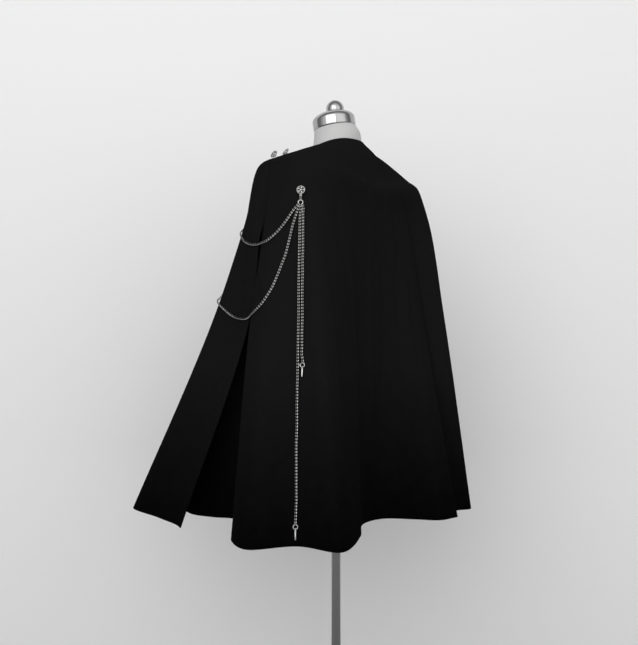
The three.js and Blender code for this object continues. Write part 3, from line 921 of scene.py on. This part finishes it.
@dataclass(frozen=True)
class Tipped:
    """How a loose button lies over on its shank: the shank's extra length, which way and how far."""

    rise: float = 4.6
    turn: float = -136.0
    lean: float = 38.0

    def matrix(self) -> Matrix:
        """The lean as a matrix, in the button's frame on the cloth."""
        turn = Matrix.Rotation(math.radians(self.turn), 4, "Z")
        lean = Matrix.Rotation(math.radians(-self.lean), 4, "X")
        return Matrix.Translation((0.0, 0.0, self.rise)) @ turn @ lean


@dataclass
class Button:
    """A cast metal button: a rosette of round petals in a beaded rim, on a shank."""

    radius: float = 9.2
    lift: float = 2.2
    thick: float = 3.4
    petals: int = 5
    petal_at: float = 0.54  # this and the next three are shares of the radius
    boss_reach: float = 0.21
    rim_at: float = 0.9
    rim_half: float = 0.075
    beads: int = 30
    bevel: float = 0.35
    rows: int = 34
    sides: int = 120

    def height(self, share: float, angle: float) -> tuple[float, float]:
        """Height of the face and how deep in a hollow it is.

        Args:
            share: distance from the middle, from 0 to 1 at the rim.
            angle: direction, in radians.

        Returns:
            The height over the back of the button, and 0 on the high parts to 1 in a hollow.
        """
        base = self.thick * (0.44 + 0.2 * (1 - share**2))
        bead = 0.5 + 0.5 * math.cos(self.beads * angle)
        rim = (0.75 + 0.3 * bead) * math.exp(-(((share - self.rim_at) / self.rim_half) ** 4))
        boss = 1.25 * math.exp(-((share / self.boss_reach) ** 4))
        lobe = (0.5 + 0.5 * math.cos(self.petals * angle)) ** 1.4
        petal = 1.1 * lobe * math.exp(-(((share - self.petal_at) / (0.1 + 0.1 * lobe)) ** 4))
        high = max(rim, boss, petal)
        return base + high, 1.0 - min(1.0, high / 0.8)

    def build(
        self, name: str, place: Matrix, eye: bool, silver: bpy.types.Material, tipped: Tipped | None = None
    ) -> bpy.types.Object:
        """Builds the button.

        Args:
            name: the piece's name.
            place: its frame on the cloth.
            eye: whether an eye for a chain hangs under its rim.
            silver: its metal.
            tipped: how it lies over on its shank, or None where it lies flat.

        Returns:
            The button, with its hollows stored for the finish.
        """
        shares = [*np.linspace(0.02, 0.98, self.rows), 1.0]
        angles = np.linspace(0, 2 * math.pi, self.sides, endpoint=False)
        rings, hollows = [], []
        for share in shares:
            made = [self.height(float(share), float(angle)) for angle in angles]
            ring = circle(self.radius * share, self.sides, self.lift)
            ring[:, 2] += [height - (self.bevel if share == 1.0 else 0.0) for height, _ in made]
            rings.append(ring)
            hollows.extend(hollow for _, hollow in made)
        wide = self.radius
        for radius, z in ((wide, 0.6), (wide - 0.5, 0.0), (SHANK, 0.0), (SHANK, 0.4 - self.lift)):
            rings.append(circle(radius, self.sides, z + self.lift))
            hollows.extend([PARTLY_DULL] * self.sides)
        shapes = [rings_shape(rings)]
        if tipped:
            shank = turned([(SHANK, tipped.rise + self.lift), (SHANK, 0.4)], 24)
            shapes = [shapes[0].moved(tipped.matrix()), shank]
            hollows.extend([PARTLY_DULL] * len(shank.points))
        if eye:
            hung = EYE.shape().moved(Matrix.Translation((0.0, -EYE.below, LINE)))
            shapes.append(hung)
            hollows.extend([0.2] * len(hung.points))
        piece = make_object(name, joined(shapes).moved(place), silver)
        store(piece, "patina_and_shade", hollows)
        crisp(piece, 55.0)
        return piece


@dataclass
class Brooch:
    """A button on the shoulder, the link under it and the ring that carries the chains."""

    side: str
    place: Matrix
    link_wire: float = 0.6
    link_half: float = 2.2
    link_top: float = 11.9
    link_bottom: float = 24.5
    twists: float = 1.0

    def link_line(self) -> np.ndarray:
        """Middle of the wire of the long link, in the brooch's frame."""
        turn = np.linspace(0, 2 * math.pi, 64, endpoint=False)
        middle = -(self.link_top + self.link_bottom) / 2
        reach = (self.link_bottom - self.link_top) / 2
        along = middle + reach * np.cos(turn)
        share = np.clip((along - (middle - reach)) / (2 * reach), 0, 1)
        spin = 2 * math.pi * self.twists * (share * share * (3 - 2 * share))
        wide = self.link_half * np.sign(np.sin(turn)) * np.abs(np.sin(turn)) ** 0.6
        return np.stack([wide * np.sin(spin), along, LINE + wide * np.cos(spin)], axis=1)

    def build(self, finishes: Finishes) -> list[bpy.types.Object]:
        """Builds the button, its link and its ring."""
        made = [Button().build(f"{self.side}_button_cast", self.place, True, finishes.silver)]
        link = wire_shape(self.link_line(), self.link_wire, 8).moved(self.place)
        made.append(make_object(f"{self.side}_link_wire", link, finishes.silver))
        ring = RING.shape().moved(self.place @ Matrix.Translation((0.0, -RING.below, LINE)))
        made.append(make_object(f"{self.side}_ring_wire", ring, finishes.silver))
        for piece, node in zip(made, ("button", "link", "ring")):
            stand_in(piece, f"{self.side}_{node}")
        return made


@dataclass
class Pendant:
    """A ring at the end of a strand, and the blunt spike that hangs from it."""

    strand: str
    place: Matrix
    length: float
    tie: float = 0.0  # size of a small link that joins the ring to the next chain
    top: float = 2.0
    tip: float = 1.35

    def build(self, finishes: Finishes) -> list[bpy.types.Object]:
        """Builds the ring and the spike, each riding on its own body."""
        middle = self.place @ Matrix.Translation((0.0, 0.0, LINE))
        wires = [PENDANT_RING.shape()]
        if self.tie:
            aside = Matrix.Translation((0.3 - PENDANT_RING.radius - self.tie / 2, 0.0, 0.0))
            wires.append(wire_shape(circle(self.tie / 2, 24), 0.55, 8).moved(aside))
        ring = make_object(f"{self.strand}_ring_wire", joined(wires).moved(middle), finishes.silver)
        stand_in(ring, f"{self.strand}_ring")
        eye = EYE.shape().moved(Matrix.Rotation(math.pi / 2, 4, "Y"))
        neck = EYE.radius
        spike = turned(
            [
                (0.6, -neck + 0.35),
                (self.top - 0.3, -neck),
                (self.top, -neck - 0.5),
                (self.top + 0.15, -neck - 1.4),
                (self.top, -neck - 2.2),
                (self.top - 0.35, -neck - 2.7),
                (self.top - 0.1, -neck - 3.4),
                (self.tip + 0.1, -self.length + 1.2),
                (self.tip - 0.15, -self.length + 0.4),
                (self.tip - 0.7, -self.length),
            ],
            24,
        ).moved(Matrix.Rotation(-math.pi / 2, 4, "X"))
        low = middle @ Matrix.Translation((0.0, -PENDANT_RING.radius, 0.0))
        hung = make_object(f"{self.strand}_spike_cast", joined([eye, spike]).moved(low), finishes.silver)
        stand_in(hung, f"{self.strand}_spike", f"{self.strand}_spike")
        return [ring, hung]


def off_ring(place: Matrix, ring: WireRing, angle: float, over: float = 0.0) -> np.ndarray:
    """Two points straight off a ring: where a chain ends, and its lead.

    Args:
        place: the frame that carries the ring.
        ring: the ring.
        angle: degrees from straight down.
        over: how far over the middle of the ring the chain leaves it.

    Returns:
        The two points, nearest first.
    """
    reach = ring.radius + ring.wire + SEAT
    sin, cos = math.sin(math.radians(angle)), math.cos(math.radians(angle))
    spots = [Vector((d * sin, -ring.below - d * cos, LINE + over)) for d in (reach, reach + CHAIN_LEAD)]
    return np.array([place @ spot for spot in spots])


@dataclass
class Chain:
    """A curb chain along its route.

    Each link is a wire oval twisted once, so that its neighbours pass through it and it lies flat.
    """

    node: str
    start: np.ndarray
    route: tuple[tuple[float, float, float], ...]
    end: np.ndarray
    far_end: str
    wire: float = 0.82
    long: float = 9.2
    wide: float = 4.8
    pitch: float = 6.5
    twist: float = 0.85
    lit: float = 0.15  # share of a link's length, from its middle, that keeps the bright metal
    fading: float = 0.09  # share over which it then darkens into painted shade, where the next links pass through

    def link(self) -> Shape:
        """One link about its middle, along X and flat on Z."""
        turn = np.linspace(0, 2 * math.pi, 18, endpoint=False)
        reach, half = self.long / 2 - self.wire, self.wide / 2 - self.wire
        line = np.stack(
            [
                reach * np.sign(np.cos(turn)) * np.abs(np.cos(turn)) ** 0.8,
                half * np.sign(np.sin(turn)) * np.abs(np.sin(turn)) ** 0.8,
                self.twist * np.sin(2 * turn),
            ],
            axis=1,
        )
        return wire_shape(line, self.wire, 6)

    def build(self, finishes: Finishes, pendant: Sequence[bpy.types.Object] = ()) -> bpy.types.Object:
        """Args:
            finishes: the model's materials.
            pendant: the pieces at its end; not used.

        Returns:
            The chain.
        """
        knots = np.concatenate([self.start, np.array(self.route), self.end[::-1]])
        path = smooth_path(knots, 1.0)
        length = path_length(path)
        count = round(length / self.pitch)
        marks = (np.arange(count) + 0.5) * length / count
        reach = np.linspace(0, length, len(path))
        link = self.link()
        # The ends of each link are painted dark as shade where its neighbours pass through it
        ends = np.clip((np.abs(link.points[:, 0]) / self.long - self.lit) / self.fading, 0, 1)
        shapes = []
        for mark in marks:
            spot, ahead, behind = (
                np.array([np.interp(mark + step, reach, path[:, k]) for k in range(3)]) for step in (0, 2, -2)
            )
            along = (ahead - behind) / np.linalg.norm(ahead - behind)
            out = np.array([spot[0], spot[1] * 1.2, 0.0])
            out -= along * (out @ along)
            out /= np.linalg.norm(out)
            turn = np.stack([along, np.cross(out, along), out])
            shapes.append(Shape(link.points @ turn + spot, link.faces))
        piece = make_object(f"{self.node}_chain", joined(shapes), finishes.chain)
        store(piece, "patina_and_shade", np.tile(ends, count))
        stand_in(piece, self.node)
        LOG.info("%s: %d links, %.0f mm", piece.name, count, length)
        return piece


@dataclass
class ChainTrim:
    """All of the metal trim of the left shoulder."""

    back: bpy.types.Object
    front: bpy.types.Object

    def build(self, finishes: Finishes) -> None:
        """Builds the brooches, buttons, chains and pendants."""
        behind = Seat(229, 103, 1294.6, -0.83, -0.55, 8).frame(self.back)
        ahead = Seat(172, -150, 1294.6, -0.45, 0.89, 5).frame(self.front)
        long_end = Seat(301, 168, 591, -0.7, -0.7).frame(self.back)
        short_end = Seat(268, 138, 921, -0.93, -0.34).frame(self.back)
        Brooch("back", behind).build(finishes)
        Brooch("front", ahead).build(finishes)
        long_pendant = Pendant("long", long_end, 22).build(finishes)
        short_pendant = Pendant("short", short_end, 20, 3.6).build(finishes)

        # Each chain leaves the back ring at an angle and a height, bunched with the others
        for node, angle, over, route, meets in (
            ("swag_upper", -42, 1.8, SWAG_UPPER_ROUTE, 62),
            ("swag_lower", -18, -0.6, SWAG_LOWER_ROUTE, 4),
        ):
            start, end = off_ring(behind, RING, angle, over), off_ring(ahead, RING, meets)
            Chain(node, start, route, end, "object").build(finishes)
        for node, angle, over, route, place, pendant in (
            ("strand_long", 6, 1.4, STRAND_LONG_ROUTE, long_end, long_pendant),
            ("strand_short", 34, -0.6, STRAND_SHORT_ROUTE, short_end, short_pendant),
        ):
            start, end = off_ring(behind, RING, angle, over), off_ring(place, PENDANT_RING, 180)
            Chain(node, start, route, end, "fitting").build(finishes, pendant)
        for name, seat in (("back", Seat(176, -22, 1450)), ("front", Seat(138, -24, 1450))):
            place = seat.frame(self.front)
            button = Button().build(f"shoulder_{name}_cast", place, False, finishes.silver, Tipped())
            stand_in(button, f"shoulder_button_{name}")


# The cloth


@dataclass
class ClothPanel:
    """One panel of the cloak: a thin shell over its fold lines, with creases and stitched edges."""

    node: str
    folds: tuple[Fold, ...]
    creases: tuple[Crease, ...]
    flat: tuple[float, float]
    area: float
    under: BVHTree | None = None  # outer face of the panel that this one's last edge is sewn down on

    def columns(self) -> tuple[np.ndarray, np.ndarray]:
        """Places the panel's points on its fold lines.

        Returns:
            The points, one column for each step across and down it from neckline to hem, and each
            column's lap.
        """
        levels = np.stack([fold.stations() for fold in self.folds])
        columns, laps = [], []
        for index, fold in enumerate(self.folds):
            after = self.folds[min(index + 1, len(self.folds) - 1)]
            count = fold.steps * FINE_STEPS
            for share in [step / count for step in range(count)] or [0.0]:
                top = fold.top + (after.top - fold.top) * share
                shoulder = np.array([ring.point(top) for ring in SHOULDERS])
                lower = between(knots_around(levels, index), share)
                knots = np.concatenate([shoulder, lower])
                column = [
                    between(knots_around(knots, span), row / (rows * FINE_ROWS))
                    for span, rows in enumerate(SPAN_ROWS)
                    for row in range(rows * FINE_ROWS)
                ]
                columns.append([*column, knots[-1]])
                laps.append(fold.lap + (after.lap - fold.lap) * share)
        return np.array(columns), np.array(laps)

    @staticmethod
    def normals(grid: np.ndarray) -> np.ndarray:
        """Outward directions of a grid of points."""
        around = np.gradient(grid, axis=0)
        down = np.gradient(grid, axis=1)
        out = np.cross(down, around)
        return out / np.linalg.norm(out, axis=2, keepdims=True)

    def creased(self, grid: np.ndarray) -> np.ndarray:
        """The grid with its creases pressed in.

        Args:
            grid: the panel's smooth points.

        Returns:
            The points, moved along their normals.
        """
        shift = np.zeros(grid.shape[:2])
        points = grid.reshape(-1, 3)
        for crease in self.creases:
            line = smooth_path(np.array([self.spot(grid, *place) for place in crease.line]), CREASE_STEP)
            gaps = np.linalg.norm(points[:, None] - line[None], axis=2)
            along = gaps.argmin(axis=1) / (len(line) - 1)
            fade = np.sin(math.pi * along) ** 0.7
            swell = np.exp(-((gaps.min(axis=1) / (crease.width * 0.6)) ** 2)) * fade
            shift += (crease.height * swell).reshape(shift.shape)
        return grid + self.normals(grid) * shift[..., None]

    def spot(self, grid: np.ndarray, fold: float, height: float) -> np.ndarray:
        """Point of the panel on a fold, or between two, at a height over the floor."""
        index = min(int(fold), len(self.folds) - 1)
        before = sum(f.steps for f in self.folds[:index]) * FINE_STEPS
        column = grid[before + round((fold - index) * self.folds[index].steps * FINE_STEPS)]
        return column[np.abs(column[:, 2] - height).argmin()]

    def outer(self) -> np.ndarray:
        """The panel's outer face, laps lifted over the shoulders and creased."""
        grid, laps = self.columns()
        rows = np.arange(grid.shape[1]) / FINE_ROWS
        fade = np.clip((LIFTED_ROWS + FADING_ROWS - rows) / FADING_ROWS, 0, 1)
        grid = grid + self.normals(grid) * (LAP * laps[:, None] * fade[None])[..., None]
        return self.sewn_down(self.creased(grid))

    def sewn(self, grid: np.ndarray) -> np.ndarray:
        """How firmly each point is sewn down: 1 along the wing's edge over the shoulder."""
        if self.under is None:
            return np.zeros(grid.shape[:2])
        across = np.linalg.norm(np.diff(grid, axis=0), axis=2)
        from_edge = np.concatenate([np.cumsum(across[::-1], axis=0)[::-1], np.zeros((1, grid.shape[1]))])
        near = np.clip(1 - from_edge / PRESSED_WIDTH, 0, 1)
        high = np.clip(1 + (grid[-1, :, 2] - SEWN_TO_Z) / SEWN_FADE, 0, 1)[None]
        return near * near * (3 - 2 * near) * high * high * (3 - 2 * high)

    def sewn_down(self, grid: np.ndarray) -> np.ndarray:
        """The grid with its sewn edge laid close on the panel under it.

        Args:
            grid: the panel's points.

        Returns:
            The points, moved where they are sewn.
        """
        if self.under is None:
            return grid
        share = self.sewn(grid)
        laid = grid.copy()
        for i, j in np.argwhere(share > 0.01):
            place, out, _, _ = self.under.find_nearest(Vector(grid[i, j]))
            target = np.array(place + out * THIN_LAP)
            laid[i, j] += share[i, j] * (target - grid[i, j])
        return laid

    @staticmethod
    def rim_distance(grid: np.ndarray) -> np.ndarray:
        """Distance of each point from the nearest edge of the panel, in millimetres."""
        down = np.linalg.norm(np.diff(grid, axis=1), axis=2)
        from_top = np.concatenate([np.zeros((len(grid), 1)), np.cumsum(down, axis=1)], axis=1)
        from_hem = from_top[:, -1:] - from_top
        across = np.linalg.norm(np.diff(grid, axis=0), axis=2)
        from_start = np.concatenate([np.zeros((1, grid.shape[1])), np.cumsum(across, axis=0)])
        from_end = from_start[-1:] - from_start
        return np.minimum.reduce([from_top, from_hem, from_start, from_end])

    def shell(self, grid: np.ndarray) -> tuple[Shape, np.ndarray]:
        """A shell as thick as the cloth, with soft edges.

        Args:
            grid: the outer face.

        Returns:
            The shell and each point's distance from the panel's edge.
        """
        wall = WALL - (WALL - THIN_WALL) * self.sewn(grid)
        inner = grid - self.normals(grid) * wall[..., None]
        across, down = grid.shape[:2]
        number = np.arange(across * down).reshape(across, down)
        edge = np.concatenate([number[:, 0], number[-1, 1:], number[-2::-1, -1], number[0, -2:0:-1]])
        middle = (grid.reshape(-1, 3)[edge] + inner.reshape(-1, 3)[edge]) / 2
        toward = np.roll(middle, -1, axis=0) - np.roll(middle, 1, axis=0)
        out = np.cross(toward, self.normals(grid).reshape(-1, 3)[edge])
        out /= np.linalg.norm(out, axis=1, keepdims=True)
        centre = grid.reshape(-1, 3).mean(axis=0)
        rim = middle + out * np.sign(((middle - centre) * out).sum(axis=1).mean()) * 0.5
        points = np.concatenate([grid.reshape(-1, 3), inner.reshape(-1, 3), rim])
        inside, round_edge = across * down, 2 * across * down
        faces: list[tuple[int, ...]] = []
        for i in range(across - 1):
            for j in range(down - 1):
                a, b, c, d = number[i, j], number[i, j + 1], number[i + 1, j + 1], number[i + 1, j]
                faces.append((a, b, c, d))
                faces.append((inside + d, inside + c, inside + b, inside + a))
        count = len(edge)
        for k in range(count):
            n = (k + 1) % count
            faces.append((edge[k], edge[n], round_edge + n, round_edge + k))
            faces.append((round_edge + k, round_edge + n, inside + edge[n], inside + edge[k]))
        distance = self.rim_distance(grid).reshape(-1)
        distances = np.concatenate([distance, distance, np.zeros(count)])
        return Shape(points, [tuple(map(int, face)) for face in faces]), distances

    def face_tree(self) -> BVHTree:
        """The panel's outer face, to look up the nearest point of."""
        grid = self.outer()
        across, down = grid.shape[:2]
        faces = [
            (i * down + j, i * down + j + 1, (i + 1) * down + j + 1, (i + 1) * down + j)
            for i in range(across - 1)
            for j in range(down - 1)
        ]
        return BVHTree.FromPolygons(grid.reshape(-1, 3).tolist(), faces)

    def build(self, finishes: Finishes) -> bpy.types.Object:
        """Builds the panel."""
        shape, rim = self.shell(self.outer())
        piece = make_object(f"{self.node}_wool", shape, finishes.wool)
        store(piece, "rim_mm", rim)
        stand_in(piece, self.node)
        LOG.info("%s: %d faces", piece.name, len(shape.faces))
        return piece


# The dress form and its stand


@dataclass
class DressForm:
    """The jersey-covered torso and neck."""

    sides: int = 96
    rows: int = 6

    def build(self, finishes: Finishes) -> bpy.types.Object:
        """Builds the form's cover."""
        inset = WALL + CLEAR
        spans = [(ring, inset if ring in SHOULDERS else 0.0) for ring in (*NECK, *SHOULDERS, *TORSO)]
        profiles = []
        for i in range(self.sides):
            angle = i / self.sides * 360
            knots = np.array([ring.point(angle, part) - np.array([0, 0, part]) for ring, part in spans])
            fine = [
                between(knots_around(knots, k), row / self.rows)
                for k in range(len(knots) - 1)
                for row in range(self.rows)
            ]
            profiles.append([*fine, knots[-1]])
        grid = np.array(profiles)
        rings = [grid[:, k] for k in range(grid.shape[1])]
        piece = make_object("form_cover", rings_shape(rings), finishes.cover)
        crisp(piece, 50.0)
        return stand_in(piece, "form_torso")


@dataclass
class Stand:
    """The chromed cap and ball on the neck, and the pole and base under the form."""

    tilt: float = 9.0
    turn: float = 32.0
    neck_y: float = -3.7
    neck_z: float = 1472.0
    cap_radius: float = 51.0
    cap_straight: float = 20.0
    cap_height: float = 42.0
    knob_radius: float = 21.3
    knob_y: float = -3.2
    knob_z: float = 1518.6
    pole_radius: float = 11.0
    pole_top: float = 740.0 - SEAT
    base_radius: float = 165.0
    base_thick: float = 14.0
    boss_radius: float = 24.0
    boss_top: float = 34.0

    def add_cap(self, finishes: Finishes) -> None:
        """Adds the cap, with the hollow that the ball sits in cut out of it."""
        rise = self.cap_height - self.cap_straight
        dome = [
            (self.cap_radius * math.sin(t), self.cap_straight + rise * math.cos(t))
            for t in np.linspace(0.04, math.pi / 2, 20)
        ]
        foot = [(self.cap_radius - back, z) for back, z in ((0, 3.0), (0.35, 1.6), (1.2, 0.5), (2.0, 0.0))]
        place = Matrix.Translation((0, self.neck_y, self.neck_z + SEAT))
        place @= Matrix.Rotation(math.radians(self.turn), 4, "Z")
        place @= Matrix.Rotation(math.radians(self.tilt), 4, "X")
        cap = make_object("neck_cap_plate", turned([*dome, *foot], 96).moved(place), finishes.chrome)
        cutter = make_object("cap_cutter", self.ball(self.knob_radius + SEAT), finishes.chrome)
        cut = cap.modifiers.new("socket", "BOOLEAN")
        cut.object = cutter
        cut.operation = "DIFFERENCE"
        graph = bpy.context.evaluated_depsgraph_get()
        cut_mesh = bpy.data.meshes.new_from_object(cap.evaluated_get(graph))
        cap.modifiers.clear()
        cap.data = cut_mesh
        bpy.data.objects.remove(cutter)
        crisp(cap)
        stand_in(cap, "neck_cap")

    def ball(self, radius: float) -> Shape:
        """A ball where the knob is."""
        turns = np.linspace(0.03, math.pi - 0.03, 40)
        profile = [(radius * math.sin(turn), radius * math.cos(turn)) for turn in turns]
        return turned(profile, 64).moved(Matrix.Translation((0, self.knob_y, self.knob_z)))

    def build(self, finishes: Finishes) -> None:
        """Builds the cap, the ball, the pole and the base."""
        self.add_cap(finishes)
        radius, low = self.pole_radius, self.boss_top + SEAT
        tube = turned([(radius - 0.6, self.pole_top), (radius, self.pole_top - 0.6), (radius, low)], 48)
        boss, top, rim = self.boss_radius, self.base_thick, self.base_radius
        plate = turned(
            [
                (boss - 3, self.boss_top),
                (boss - 0.8, self.boss_top - 0.8),
                (boss, self.boss_top - 3),
                (boss, top + 3),
                (boss + 3, top),
                (rim - 12, top - 1),
                (rim - 4, top - 2.6),
                (rim - 0.8, top - 6),
                (rim, 4.0),
                (rim, 0.0),
            ],
            128,
        )
        for name, node, shape in (
            ("neck_knob_ball", "neck_knob", self.ball(self.knob_radius)),
            ("stand_pole_tube", "stand_pole", tube),
            ("stand_base_plate", "stand_base", plate),
        ):
            crisp(stand_in(make_object(name, shape, finishes.chrome), node))


def main() -> None:
    """Builds the studio and the model."""
    logging.basicConfig(level=logging.INFO, format="%(name)s: %(message)s")
    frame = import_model()
    nodes = frame["nodes"]
    Studio().build()
    finishes = Finishes.make()
    ChainTrim(nodes["cloak_back"], nodes["cloak_front"]).build(finishes)
    back = ClothPanel("cloak_back", BACK_FOLDS, BACK_CREASES, (1.13, 0.99), 0.67)
    back.build(finishes)
    ClothPanel("cloak_front", FRONT_FOLDS, FRONT_CREASES, (1.8, 0.99), 1.06, back.face_tree()).build(finishes)
    DressForm().build(finishes)
    Stand().build(finishes)


if __name__ == "__main__":
    main()
